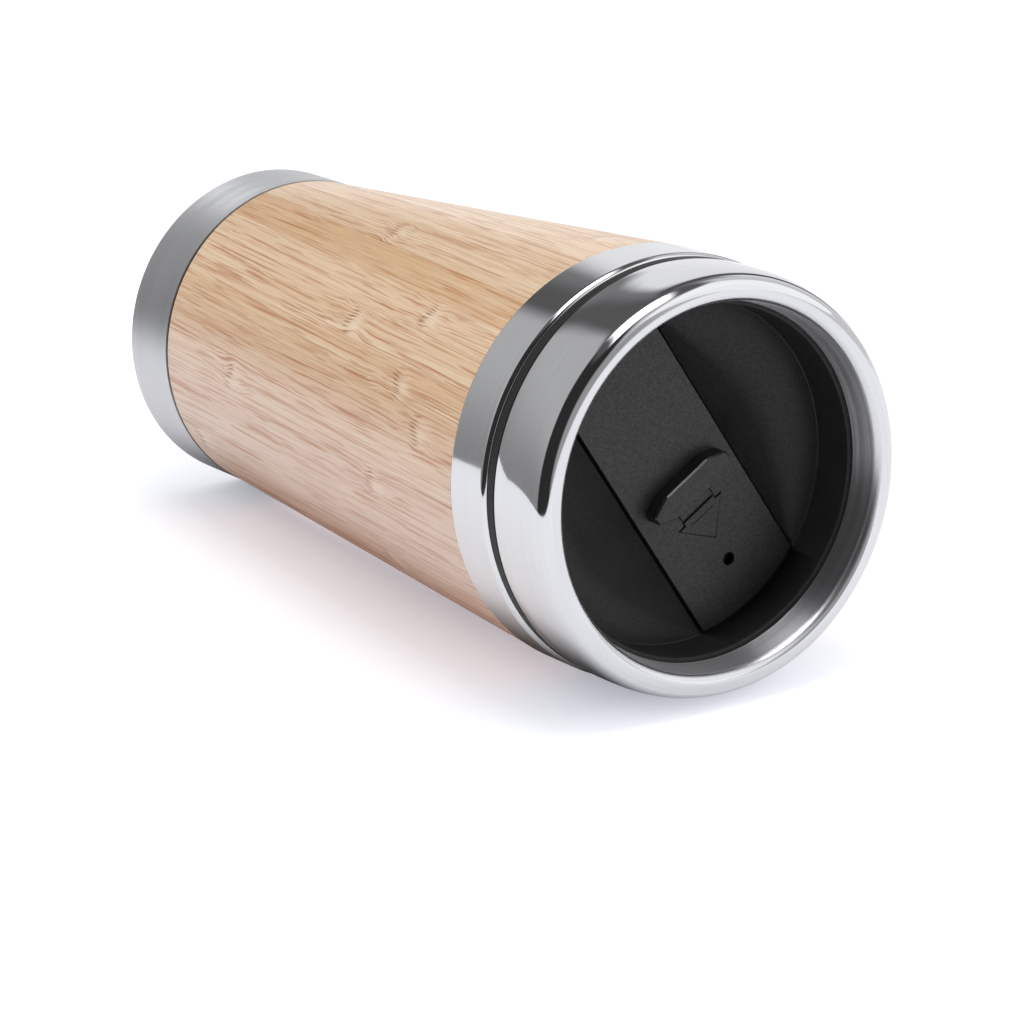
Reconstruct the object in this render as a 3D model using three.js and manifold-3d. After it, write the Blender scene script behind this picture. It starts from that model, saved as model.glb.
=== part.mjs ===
// An insulated tumbler: a double-walled steel cup in a bamboo sleeve, with a steel base,
// and a push-in lid whose steel rim holds a black insert with a sliding drinking closure.
// Millimetres, +Z up along the tumbler's axis, origin at the centre of the base's underside.
// The slider's arrow points along -X, the way that it is pushed to open.
import * as THREE from "three";
import { mergeVertices } from "three/addons/utils/BufferGeometryUtils.js";
import Module from "manifold-3d";

const wasm = await Module();
wasm.setup();

// Steel base and the black ring above it
const baseRadius = 33.2;
const baseHeight = 15.2;
const baseWall = 0.8;
const baseCorner = 0.9;
const jointRingHeight = 0.5;
const jointRingSetback = 0.3;

// Bamboo sleeve
const sleeveLength = 122.1;
const sleeveWall = 2.6;
const sleeveSetback = 0.1;
const sleeveChamfer = 0.4;

// Outer shell, which shows as the collar above the sleeve
const collarRadius = 41.0;
const collarHeight = 11.2;
const collarShoulder = 1.4;
const collarHeel = 0.4;
const shellWall = 0.7;
const shellCorner = 4;
const hemDepth = 3.4;
const hemTurn = 1.3;

// Inner cup
const linerWall = 0.6;
const linerCorner = 7;
const vacuumGap = 2.2;
const vacuumFloor = 3;
const neckGap = 1.1;
const neckReserve = 2.4;
const neckFlare = 3;

// Lid insert: the black band above the collar, the plug below it and the tray above
const bandHeight = 2.25;
const bandSetback = 0.5;
const plugDepth = 11;
const plugWall = 2.4;
const plugPlay = 0.6;
const grooveHeight = 3;
const grooveDepth = 1.4;
const grooveDrop = 3;
const gasketPlay = 0.25;
const gasketRib = 0.5;
const gasketValley = 0.4;
const trayWall = 1.4;
const trayStep = 0.9;
const trayDraft = 0.1;
const trayLip = 1.3;
const floorRise = 1.9;
const floorWall = 1.4;

// Steel rim of the lid
const rimHeight = 15.85;
const rimWall = 0.5;
const rimSetback = 0.2;
const rimBelly = 0.3;
const rimWidth = 5.7;
const rimDrop = 6.65;
const rimDraft = 0.7;
const rimUpright = 4.75;
const crownWidth = 1.9;
const rimEdge = 2.1;

// Slider with its thumb tab, arrow, seal and clip
const sliderWidth = 24.5;
const sliderThickness = 2;
const pocketSkin = 0.45;
const pocketWall = 1.9;
const tabReach = 3.3;
const tabWidth = 5.2;
const tabLength = 19.4;
const tabStraight = 11.6;
const tabTip = 1.8;
const tabHeight = 3.5;
const tabBevel = 0.4;
const arrowHeight = 0.3;
const arrowWidth = 8;
const arrowTail = 3.3;
const arrowSlit = 0.6;
const arrowNeck = 0.8;
const arrowHead = 6.3;
const arrowSpan = 11.2;
const ventReach = 22.8;
const ventRadius = 1.25;
const sipLength = 16;
const sipMargin = 1.5;
const sipEdge = 1.8;
const sealThickness = 0.8;
const sealLap = 0.7;
const stemLength = 3;
const stemWidth = 6;
const stemHead = 1;
const stemBarb = 0.9;
const clipThickness = 1.2;
const clipLap = 4.5;

// Clearance between neighbouring pieces, and how finely round shapes are cut
const fit = 0.3;
const jointGap = 0.2;
const roundSegments = 40;
const filletSteps = 3;
const curveSteps = 7;
const overcut = 1;

// Share of a tangent that the control arm of a quarter turn takes: of an ellipse, and of the fuller shoulder
const ellipseArm = 0.5523;
const shoulderArm = 0.8;

// Heights of the cup's pieces
const ringBottom = baseHeight + jointGap;
const sleeveBottom = ringBottom + jointRingHeight + jointGap;
const sleeveTop = sleeveBottom + sleeveLength;
const collarBottom = sleeveTop + fit;
const collarTop = collarBottom + collarHeight;
const shellBottom = baseWall + fit;
const linerBottom = shellBottom + shellWall + vacuumFloor;
const linerTop = collarTop - hemTurn;
const neckBottom = collarTop - plugDepth - neckReserve;
const lidSeat = collarTop + fit;

// Radii that follow from the sleeve's taper
const taper = (collarRadius - baseRadius) / sleeveLength;
const sleeveOutside = (z) => baseRadius - sleeveSetback + taper * (z - sleeveBottom);
const shellOutside = (z) => sleeveOutside(z) - sleeveWall - fit;
const linerOutside = (z) => shellOutside(z) - shellWall - vacuumGap;
const neckOutside = shellOutside(collarBottom) - shellWall - neckGap;
const hemRadius = neckOutside + fit;
const mouthRadius = neckOutside - linerWall;

// Lid sizes, with heights counted from the underside of the black band
const bandRadius = collarRadius - bandSetback;
const rimRadius = collarRadius - rimSetback;
const rimOpening = rimRadius - rimWidth;
const rimTop = bandHeight + rimHeight;
const rimInnerEnd = rimTop - rimDrop;
const rimInnerRadius = rimOpening - rimDraft;
const trayTop = rimInnerEnd - fit;
const trayRadius = rimInnerRadius - trayStep;
const floorRadius = trayRadius - trayDraft;
const plugRadius = mouthRadius - plugPlay;
const channelFloor = floorRise - sliderThickness - fit;
const floorUnderside = channelFloor - floorWall;

// Slider sizes: it opens by sliding into the band's pocket, which leaves the pocket's wall
const travel = bandRadius - pocketWall - floorRadius;
const sliderRadius = floorRadius - fit;
const tongueThickness = floorRise - pocketSkin - fit;
const sipWidth = travel - sipMargin;
const sipRadius = floorRadius - sipEdge;

// Seal and clip, with heights counted from the slider's top face
const sealWidth = sipWidth + 2 * sealLap;
const sealRadius = sipRadius + sealLap;
const sealLength = sipLength + 2 * sealLap;
const sealBottom = -sliderThickness - fit / 2;
const sealTop = sealBottom + sealThickness;
const clipTop = -sliderThickness - fit - floorWall - fit;
const clipBottom = clipTop - clipThickness;

// A closed geometry as a solid that can be joined and cut
function solid(geometry) {
  geometry.deleteAttribute("normal");
  geometry.deleteAttribute("uv");
  const merged = mergeVertices(geometry, 1e-4);
  const corners = merged.index.array;
  const triVerts = [];
  for (let i = 0; i < corners.length; i += 3) {
    const [a, b, c] = corners.subarray(i, i + 3);
    if (a !== b && b !== c && c !== a) triVerts.push(a, b, c);
  }
  return new wasm.Manifold(
    new wasm.Mesh({
      numProp: 3,
      vertProperties: merged.attributes.position.array,
      triVerts: new Uint32Array(triVerts),
    }),
  );
}

// A named mesh from a solid
function piece(name, body, color, roughness, metalness) {
  const { numProp, numVert, vertProperties, triVerts } = body.getMesh();
  const position = new Float32Array(numVert * 3);
  for (let i = 0; i < numVert; i++) {
    position.set(vertProperties.subarray(i * numProp, i * numProp + 3), i * 3);
  }
  const geometry = new THREE.BufferGeometry();
  geometry.setAttribute("position", new THREE.BufferAttribute(position, 3));
  geometry.setIndex(new THREE.BufferAttribute(triVerts, 1));
  geometry.computeVertexNormals();
  const mesh = new THREE.Mesh(geometry, new THREE.MeshStandardMaterial({ color, roughness, metalness }));
  mesh.name = name;
  return mesh;
}

// A line through corners [radius, height, fillet], with each fillet as an arc within its two sides
function roundedLine(corners) {
  return corners.flatMap(([x, y, fillet], i) => {
    const corner = new THREE.Vector2(x, y);
    if (!fillet) return [corner];
    const neighbours = [corners[i - 1], corners[i + 1]];
    const [back, ahead] = neighbours.map(([u, v]) => new THREE.Vector2(u, v).sub(corner));
    const half = back.angleTo(ahead) / 2;
    const reach = Math.min(fillet / Math.tan(half), back.length() * 0.49, ahead.length() * 0.49);
    back.setLength(reach);
    ahead.setLength(reach);
    const centre = back.clone().add(ahead).setLength(reach / Math.cos(half)).add(corner);
    const start = back.clone().add(corner);
    const sweep = (Math.PI - 2 * half) * Math.sign(ahead.cross(back));
    return Array.from({ length: filletSteps + 1 }, (_, k) =>
      start.clone().rotateAround(centre, (sweep * k) / filletSteps),
    );
  });
}

// A bent sheet: the line and its copy one wall to the left, as one closed outline
function sheet(line, wall) {
  const side = (from, to) => new THREE.Vector2(from.y - to.y, to.x - from.x).normalize();
  const inside = line.map((point, i) => {
    const before = side(line[Math.max(i - 1, 0)], line[Math.max(i, 1)]);
    const after = side(line[Math.min(i, line.length - 2)], line[Math.min(i + 1, line.length - 1)]);
    const across = before.clone().add(after).normalize();
    return across.multiplyScalar(wall / across.dot(before)).add(point);
  });
  return [...line, ...inside.reverse(), line[0]];
}

// An outline of [radius, height] points turned round the axis
function turned(outline) {
  const points = outline.map((p) => new THREE.Vector2(Math.max(p.x, 0), p.y));
  return solid(new THREE.LatheGeometry(points, roundSegments).rotateX(Math.PI / 2));
}

// A quarter turn to [x, y], inside the corner of its two tangents
function quarterTurn(path, cornerX, cornerY, x, y, share) {
  const from = path.currentPoint;
  const arm = (start, corner) => start + (corner - start) * share;
  path.bezierCurveTo(arm(from.x, cornerX), arm(from.y, cornerY), arm(x, cornerX), arm(y, cornerY), x, y);
}

// A flat shape with its height from low to high
function plate(shape, low, high) {
  const options = { depth: high - low, bevelEnabled: false, curveSegments: roundSegments / 4 };
  return solid(new THREE.ExtrudeGeometry(shape, options).translate(0, 0, low));
}

function polygon(points) {
  return new THREE.Shape(points.map(([x, y]) => new THREE.Vector2(x, y)));
}

function rectangle(x, length, width) {
  const [l, w] = [length / 2, width / 2];
  return polygon([[x - l, -w], [x + l, -w], [x + l, w], [x - l, w]]);
}

function disc(x, radius) {
  return new THREE.Shape().absarc(x, 0, radius, 0, 2 * Math.PI);
}

// A strip along X with round ends: each end is an arc of the radius about its own centre
function strip(width, radius, frontCentre, rearCentre) {
  const half = Math.asin(width / 2 / radius);
  return new THREE.Shape()
    .absarc(rearCentre, 0, radius, -half, half)
    .absarc(frontCentre, 0, radius, Math.PI - half, Math.PI + half);
}

// A strip across X, bent to an arc, whose outer edge has the radius about the axis
function crescent(length, radius, width) {
  const half = Math.asin(length / 2 / radius);
  return new THREE.Shape()
    .absarc(0, 0, radius, -half, half)
    .absarc(-width, 0, radius, half, -half, true);
}

// Cup
function baseCup() {
  const line = roundedLine([
    [0, 0],
    [baseRadius, 0, baseCorner],
    [baseRadius, baseHeight],
  ]);
  return piece("base_cup", turned(sheet(line, baseWall)), 0xb9bcc0, 0.35, 1);
}

function jointRing() {
  const inside = shellOutside(sleeveBottom) + fit;
  const outside = baseRadius - jointRingSetback;
  const outline = roundedLine([
    [inside, ringBottom],
    [outside, ringBottom],
    [outside, ringBottom + jointRingHeight],
    [inside, ringBottom + jointRingHeight],
    [inside, ringBottom],
  ]);
  return piece("base_joint_ring", turned(outline), 0x101010, 0.6, 0);
}

function bambooSleeve() {
  const low = sleeveOutside(sleeveBottom);
  const high = sleeveOutside(sleeveTop);
  const outline = roundedLine([
    [low - sleeveWall, sleeveBottom],
    [low - sleeveChamfer, sleeveBottom],
    [low, sleeveBottom + sleeveChamfer],
    [high, sleeveTop - sleeveChamfer],
    [high - sleeveChamfer, sleeveTop],
    [high - sleeveWall, sleeveTop],
    [low - sleeveWall, sleeveBottom],
  ]);
  return piece("bamboo_sleeve", turned(outline), 0xd2a06a, 0.5, 0);
}

function outerShell() {
  const line = roundedLine([
    [0, shellBottom],
    [shellOutside(shellBottom), shellBottom, shellCorner],
    [shellOutside(collarBottom), collarBottom, collarHeel],
    [collarRadius, collarBottom, collarHeel],
    [collarRadius, collarTop, collarShoulder],
    [hemRadius, collarTop, hemTurn],
    [hemRadius, collarTop - hemDepth],
  ]);
  return piece("outer_shell", turned(sheet(line, shellWall)), 0xd8dadc, 0.12, 1);
}

function innerCup() {
  const flareBottom = neckBottom - neckFlare;
  const line = roundedLine([
    [0, linerBottom],
    [linerOutside(linerBottom), linerBottom, linerCorner],
    [linerOutside(flareBottom), flareBottom, neckFlare],
    [neckOutside, neckBottom, neckFlare],
    [neckOutside, linerTop],
  ]);
  return piece("inner_cup", turned(sheet(line, linerWall)), 0xc9ccce, 0.3, 1);
}

// Lid
function lidInsert() {
  const grooveTop = -grooveDrop;
  const grooveBottom = grooveTop - grooveHeight;
  const plugInside = plugRadius - plugWall;
  const lipOutside = rimOpening + trayLip;
  const body = turned(
    roundedLine([
      [0, floorUnderside],
      [plugInside, floorUnderside],
      [plugInside, -plugDepth],
      [plugRadius, -plugDepth],
      [plugRadius, grooveBottom],
      [plugRadius - grooveDepth, grooveBottom],
      [plugRadius - grooveDepth, grooveTop],
      [plugRadius, grooveTop],
      [plugRadius, 0],
      [bandRadius, 0],
      [bandRadius, bandHeight],
      [floorRadius + trayWall, bandHeight],
      [trayRadius + trayWall, trayTop - trayWall],
      [lipOutside, trayTop - trayWall],
      [lipOutside, trayTop],
      [trayRadius, trayTop],
      [floorRadius, floorRise],
      [0, floorRise],
    ]),
  );
  const runWidth = sliderWidth + 2 * fit;
  const channel = plate(strip(runWidth, floorRadius, 0, 0), channelFloor, floorRise + fit);
  const pocket = plate(strip(runWidth, floorRadius, -travel, 0), pocketSkin, floorRise + fit);
  const through = [floorUnderside - overcut, channelFloor + overcut];
  const sip = plate(crescent(sipLength, sipRadius, sipWidth), ...through);
  const vent = plate(disc(-ventReach - travel, ventRadius), ...through);
  const stemSlot = rectangle(-tabReach - travel / 2, stemLength + travel + 2 * fit, stemWidth + 2 * fit);
  const slot = plate(stemSlot, ...through);
  const cut = [channel, pocket, sip, vent, slot].reduce((left, tool) => left.subtract(tool), body);
  return piece("lid_insert", cut, 0x1b1c1e, 0.5, 0);
}

function lidGasket() {
  const inside = plugRadius - grooveDepth + fit;
  const outside = mouthRadius - gasketPlay;
  const top = -grooveDrop - fit;
  const bottom = -grooveDrop - grooveHeight + fit;
  const valleyBottom = (top + bottom - gasketValley) / 2;
  const valleyTop = valleyBottom + gasketValley;
  const valley = outside - gasketRib;
  const outline = roundedLine([
    [inside, bottom],
    [outside, bottom, gasketRib],
    [outside, valleyBottom, gasketRib],
    [valley, valleyBottom],
    [valley, valleyTop],
    [outside, valleyTop, gasketRib],
    [outside, top, gasketRib],
    [inside, top],
    [inside, bottom],
  ]);
  return piece("lid_gasket", turned(outline), 0x222222, 0.7, 0);
}

function lidRim() {
  const bottom = bandHeight + jointGap;
  const crown = rimOpening + crownWidth;
  const widest = bandHeight + rimUpright;
  const path = new THREE.Path().moveTo(rimRadius - rimBelly, bottom);
  path.quadraticCurveTo(rimRadius, (bottom + widest) / 2, rimRadius, widest);
  quarterTurn(path, rimRadius, rimTop, crown, rimTop, shoulderArm);
  quarterTurn(path, rimOpening, rimTop, rimOpening, rimTop - rimEdge, ellipseArm);
  path.lineTo(rimInnerRadius, rimInnerEnd);
  return piece("lid_rim", turned(sheet(path.getPoints(curveSteps), rimWall)), 0xdcdee0, 0.1, 1);
}

// Slider, with heights counted from its top face
function slider() {
  const tongue = plate(strip(sliderWidth, sliderRadius, 0, 0), -tongueThickness, 0);
  const deck = plate(strip(sliderWidth, sliderRadius, travel, 0), -sliderThickness, 0);
  const root = tongueThickness / 2;
  const tab = solid(
    new THREE.ExtrudeGeometry(tabShape(), {
      depth: tabHeight + root - 2 * tabBevel,
      bevelSize: tabBevel,
      bevelThickness: tabBevel,
      bevelOffset: -tabBevel,
      bevelSegments: 2,
    }).translate(0, 0, tabBevel - root),
  );
  const neckEnd = -tabReach - tabWidth / 2 - arrowTail - arrowSlit - arrowNeck;
  const tailMiddle = neckEnd + arrowNeck + arrowSlit + (arrowTail + tabWidth / 2) / 2;
  const tail = plate(rectangle(tailMiddle, arrowTail + tabWidth / 2, arrowWidth), -root, arrowHeight);
  const head = plate(
    polygon([
      [neckEnd + arrowNeck, -arrowWidth / 2],
      [neckEnd + arrowNeck, arrowWidth / 2],
      [neckEnd, arrowWidth / 2],
      [neckEnd, arrowSpan / 2],
      [neckEnd - arrowHead, 0],
      [neckEnd, -arrowSpan / 2],
      [neckEnd, -arrowWidth / 2],
    ]),
    -root,
    arrowHeight,
  );
  const stem = plate(rectangle(-tabReach, stemLength, stemWidth), clipBottom - overcut, -root);
  const barb = plate(
    rectangle(-tabReach, stemLength, stemWidth + 2 * stemBarb),
    clipBottom - fit - stemHead,
    clipBottom - fit,
  );
  const vent = plate(disc(-ventReach, ventRadius), -sliderThickness - overcut, overcut);
  const recess = plate(
    crescent(sealLength + 2 * fit, sealRadius + fit, sealWidth + 2 * fit),
    -sliderThickness - overcut,
    sealTop + fit,
  );
  const whole = [deck, tab, tail, head, stem, barb].reduce((left, more) => left.add(more), tongue);
  return piece("slider", whole.subtract(vent).subtract(recess), 0x1e1f21, 0.45, 0);
}

function tabShape() {
  const [w, s, l, t] = [tabWidth / 2, tabStraight / 2, tabLength / 2, tabTip / 2];
  const outline = [[w, -s], [w, s], [t, l], [-t, l], [-w, s], [-w, -s], [-t, -l], [t, -l]];
  return polygon(outline.map(([x, y]) => [x - tabReach, y]));
}

function sliderSeal() {
  const pad = plate(crescent(sealLength, sealRadius, sealWidth), sealBottom, sealTop);
  return piece("slider_seal", pad, 0x2a2a2a, 0.7, 0);
}

function sliderClip() {
  const outside = rectangle(-tabReach, stemLength + 2 * clipLap, stemWidth + 2 * clipLap);
  const inside = rectangle(-tabReach, stemLength + 2 * fit, stemWidth + 2 * fit);
  const hole = plate(inside, clipBottom - overcut, clipTop + overcut);
  return piece("slider_clip", plate(outside, clipBottom, clipTop).subtract(hole), 0x1e1f21, 0.5, 0);
}

// The tumbler: the slider rides in the lid, and the lid on the cup
const sliderGroup = new THREE.Group();
sliderGroup.position.z = floorRise;
sliderGroup.add(slider(), sliderSeal(), sliderClip());

const lid = new THREE.Group();
lid.position.z = lidSeat;
lid.add(lidInsert(), lidGasket(), lidRim(), sliderGroup);

const tumbler = new THREE.Group();
tumbler.add(baseCup(), jointRing(), bambooSleeve(), outerShell(), innerCup(), lid);

export default tumbler;
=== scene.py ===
import math
import bmesh
import bpy
from mathutils import Matrix, Vector


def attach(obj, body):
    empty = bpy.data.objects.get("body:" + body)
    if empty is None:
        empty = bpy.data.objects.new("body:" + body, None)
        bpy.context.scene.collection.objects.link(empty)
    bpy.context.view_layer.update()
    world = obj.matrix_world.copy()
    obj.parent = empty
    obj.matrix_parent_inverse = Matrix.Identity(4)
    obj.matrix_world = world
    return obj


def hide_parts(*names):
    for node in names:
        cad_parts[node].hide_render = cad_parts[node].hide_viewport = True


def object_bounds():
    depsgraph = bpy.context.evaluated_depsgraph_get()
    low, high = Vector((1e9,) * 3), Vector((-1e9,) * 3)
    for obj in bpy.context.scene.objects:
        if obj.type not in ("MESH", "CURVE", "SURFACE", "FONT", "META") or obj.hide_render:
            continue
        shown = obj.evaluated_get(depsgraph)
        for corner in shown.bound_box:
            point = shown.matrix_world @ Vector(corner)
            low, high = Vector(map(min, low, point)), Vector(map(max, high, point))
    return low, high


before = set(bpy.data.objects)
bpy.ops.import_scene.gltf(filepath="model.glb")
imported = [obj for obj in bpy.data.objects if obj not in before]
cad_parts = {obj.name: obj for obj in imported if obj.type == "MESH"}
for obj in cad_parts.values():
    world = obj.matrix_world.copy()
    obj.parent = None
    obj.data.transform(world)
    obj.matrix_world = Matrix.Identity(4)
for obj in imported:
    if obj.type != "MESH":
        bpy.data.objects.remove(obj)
cadLow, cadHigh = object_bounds()
mm = 0.001
lidSeat = 150.0  # underside of the black band, in mm above the base
same = 0.01      # places closer than this count as one, in mm
past = 1.0       # how far a cutting tool runs past what it cuts, in mm
print("frame loaded:", len(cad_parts), "nodes")


# Camera at the photograph's place
cameraSet = {
    "lens": 156.56,
    "nearest": 0.01,
    "place": (0.43349, 0.26715, 0.81003),
    "right": (-0.46996, -0.69419, 0.54520),
    "up": (0.71995, -0.65881, -0.21825),
}


def makeCamera(values):
    bpy.ops.object.camera_add()
    camera = bpy.context.object
    camera.name = "photoCamera"
    camera.data.lens = values["lens"]
    camera.data.clip_start = values["nearest"]
    right = Vector(values["right"]).normalized()
    up = Vector(values["up"]).normalized()
    turn = Matrix((right, up, right.cross(up))).transposed().to_4x4()
    camera.matrix_world = Matrix.Translation(values["place"]) @ turn
    bpy.context.scene.camera = camera


makeCamera(cameraSet)
bpy.context.scene.view_settings.view_transform = "Standard"
print("camera set")


# Node helpers
def addNode(tree, kind, inputs=None, **settings):
    node = tree.nodes.new(kind)
    for key, value in settings.items():
        setattr(node, key, value)
    for key, value in (inputs or {}).items():
        if isinstance(value, bpy.types.NodeSocket):
            tree.links.new(value, node.inputs[key])
        else:
            node.inputs[key].default_value = value
    return node


def calc(tree, operation, a, b=0.0, c=0.0, clamp=False):
    node = addNode(tree, "ShaderNodeMath", {0: a, 1: b, 2: c}, operation=operation, use_clamp=clamp)
    return node.outputs[0]


def noiseOf(tree, vector, scale, detail=2.0, roughness=0.5):
    inputs = {"Vector": vector, "Scale": scale, "Detail": detail, "Roughness": roughness}
    return addNode(tree, "ShaderNodeTexNoise", inputs).outputs["Fac"]


def spread(tree, value, low, high, toLow=0.0, toHigh=1.0):
    inputs = {"Value": value, "From Min": low, "From Max": high, "To Min": toLow, "To Max": toHigh}
    return addNode(tree, "ShaderNodeMapRange", inputs, interpolation_type="SMOOTHSTEP").outputs[0]


def mixColour(tree, share, a, b):
    return addNode(tree, "ShaderNodeMix", {0: share, 6: a, 7: b}, data_type="RGBA").outputs[2]


def mixValue(tree, share, a, b):
    return addNode(tree, "ShaderNodeMix", {0: share, 2: a, 3: b}).outputs[0]


def newFinish(name, **sockets):
    finish = bpy.data.materials.new(name)
    finish.use_nodes = True
    tree = finish.node_tree
    shader = tree.nodes["Principled BSDF"]
    for key, value in sockets.items():
        shader.inputs[key.replace("_", " ")].default_value = value
    place = tree.nodes.new("ShaderNodeTexCoord").outputs["Object"]
    return finish, tree, shader, place


def stretched(tree, place, around, along):
    # Coordinates scaled alike round the axis, and by another scale along it
    inputs = {"Vector": place, "Scale": (around, around, along)}
    return addNode(tree, "ShaderNodeMapping", inputs).outputs[0]


def addBump(tree, shader, height, distance, strength):
    inputs = {"Height": height, "Distance": distance, "Strength": strength}
    tree.links.new(addNode(tree, "ShaderNodeBump", inputs).outputs[0], shader.inputs["Normal"])


# Stage: the white table that the tumbler lies on, the studio round it and its lamps
stageUp = Vector((0.8477, -0.5272, 0.0560)).normalized()
stageAlong = (Vector((0, 0, 1)) - stageUp * stageUp.z).normalized()  # towards the lid
stageLeft = stageAlong.cross(stageUp)  # the left of the picture

tableSet = {
    "drop": 33.15,         # from the tumbler's axis down to the table, mm
    "size": 6.0,
    "leftEdge": 0.26,      # the table ends this far to the left of the tumbler, m
    "colour": (0.86, 0.86, 0.86, 1),
    "glow": (0.90, 0.93, 1.05, 1),
    "glowSeen": (0.315, 0.42),
    "seenAlong": (0.09, 0.19),
    "glowMirrored": 0.19,
    # strips along the tumbler fade between these, m aside and m along from the base
    # painted shadow: the colour of the strip under the tumbler as mirrors see it
    "mirroredShadowColour": (0.24, 0.24, 0.24, 1),
    "underAside": (0.019, 0.041),
    "underStart": (-0.012, 0.020),
    "underFirst": 0.5,     # how much of the dark strip is left before its start
    "underEnd": (0.148, 0.168),
    "touchGlow": 0.28,
    "touchAside": (0.006, 0.013),
    "touchStart": (0.012, 0.030),
    "touchFirst": 0.0,
    "touchEnd": (0.125, 0.145),
}


def makeTable(values):
    bpy.ops.mesh.primitive_plane_add(size=values["size"])
    table = bpy.context.object
    table.name = "whiteTable"
    turn = Matrix((stageLeft, -stageAlong, stageUp)).transposed().to_4x4()
    shift = values["leftEdge"] - values["size"] / 2
    middle = stageUp * -values["drop"] * mm + stageLeft * shift
    table.matrix_world = Matrix.Translation(middle) @ turn
    finish = bpy.data.materials.new("whiteTable")
    finish.use_nodes = True
    tree = finish.node_tree
    tree.nodes.clear()
    path = tree.nodes.new("ShaderNodeLightPath")
    mirrored = path.outputs["Is Glossy Ray"]
    place = tree.nodes.new("ShaderNodeTexCoord").outputs["Object"]
    axes = addNode(tree, "ShaderNodeSeparateXYZ", {0: place}).outputs
    aside = calc(tree, "ADD", axes[0], shift)
    ahead = calc(tree, "MULTIPLY", axes[1], -1.0)

    def strip(name):
        inside = spread(tree, calc(tree, "ABSOLUTE", aside), *values[name + "Aside"], 1.0, 0.0)
        ended = spread(tree, ahead, *values[name + "End"], 1.0, 0.0)
        started = spread(tree, ahead, *values[name + "Start"], values[name + "First"], 1.0)
        return calc(tree, "MULTIPLY", calc(tree, "MULTIPLY", inside, ended), started)

    # Painted shadow: in mirrors the strip under the tumbler is painted dark and gets no glow, and the
    # open table is lighter
    under = strip("under")
    darker = calc(tree, "MULTIPLY", under, mirrored)
    colour = mixColour(tree, darker, values["colour"], values["mirroredShadowColour"])
    paper = addNode(tree, "ShaderNodeBsdfDiffuse", {"Color": colour}).outputs[0]
    lighter = calc(tree, "SUBTRACT", mirrored, under, clamp=True)
    strength = calc(tree, "MULTIPLY", lighter, values["glowMirrored"])
    # The eye sees it white, with more glow in front of the lid
    seen = spread(tree, ahead, *values["seenAlong"], *values["glowSeen"])
    strength = calc(tree, "MULTIPLY_ADD", path.outputs["Is Camera Ray"], seen, strength)
    # A faint glow along the line where the tumbler touches the table lights its underside
    strength = calc(tree, "MULTIPLY_ADD", strip("touch"), values["touchGlow"], strength)
    inputs = {"Color": values["glow"], "Strength": strength}
    glow = addNode(tree, "ShaderNodeEmission", inputs).outputs[0]
    lit = addNode(tree, "ShaderNodeAddShader", {0: paper, 1: glow}).outputs[0]
    # From below the table is clear
    clear = tree.nodes.new("ShaderNodeBsdfTransparent").outputs[0]
    behind = tree.nodes.new("ShaderNodeNewGeometry").outputs["Backfacing"]
    both = addNode(tree, "ShaderNodeMixShader", {0: behind, 1: lit, 2: clear}).outputs[0]
    addNode(tree, "ShaderNodeOutputMaterial", {"Surface": both})
    table.data.materials.append(finish)


# The studio as the polished steel shows it. A pair is where an edge starts and ends, as a share from -1
# to 1 of the way to the left (aside), up (rise) or towards the lid (ahead)
roomSet = {
    "fill": 0.86, "tint": (0.99, 0.99, 1.0, 1),
    "lightSide": 1.0, "lightEdge": (-0.36, -0.25), "lightTop": (0.62, 0.78),
    "lightLean": (0.25, 0.55, 0.12, -0.03),  # rise from and to, and how far the edge moves aside
    "darkGap": 0.12, "gapEdge": (-0.25, -0.08),
    "greySide": 0.55, "greyLean": -0.55, "greyShift": 0.28, "greyEdge": (0.0, 0.14),
    "greyRise": (-0.10, 0.45, 0.45, 1.0),    # rise from and to, and the shares of grey there
    "nearRight": 0.76, "nearLeft": 0.03, "nearEdge": (-0.12, 0.12), "nearStart": (-0.30, -0.22),
    "straightAhead": 0.40, "straightEdge": (0.80, 0.95),
    "darkCorner": 0.10, "cornerAside": (-0.15, -0.25),
    "cornerStart": (-0.62, -0.56), "cornerEnd": (-0.40, -0.46),
    "ceiling": 0.12, "ceilingEdge": (0.82, 0.90),
    "softbox": 3.2,      # how bright the overhead softbox is in mirrors
    "boxStart": (-0.34, -0.24), "boxEnd": (0.42, 0.36), "boxLow": (0.84, 0.90),
    "boxRight": (-0.30, -0.12), "boxLeft": (0.36, 0.20),
}


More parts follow.
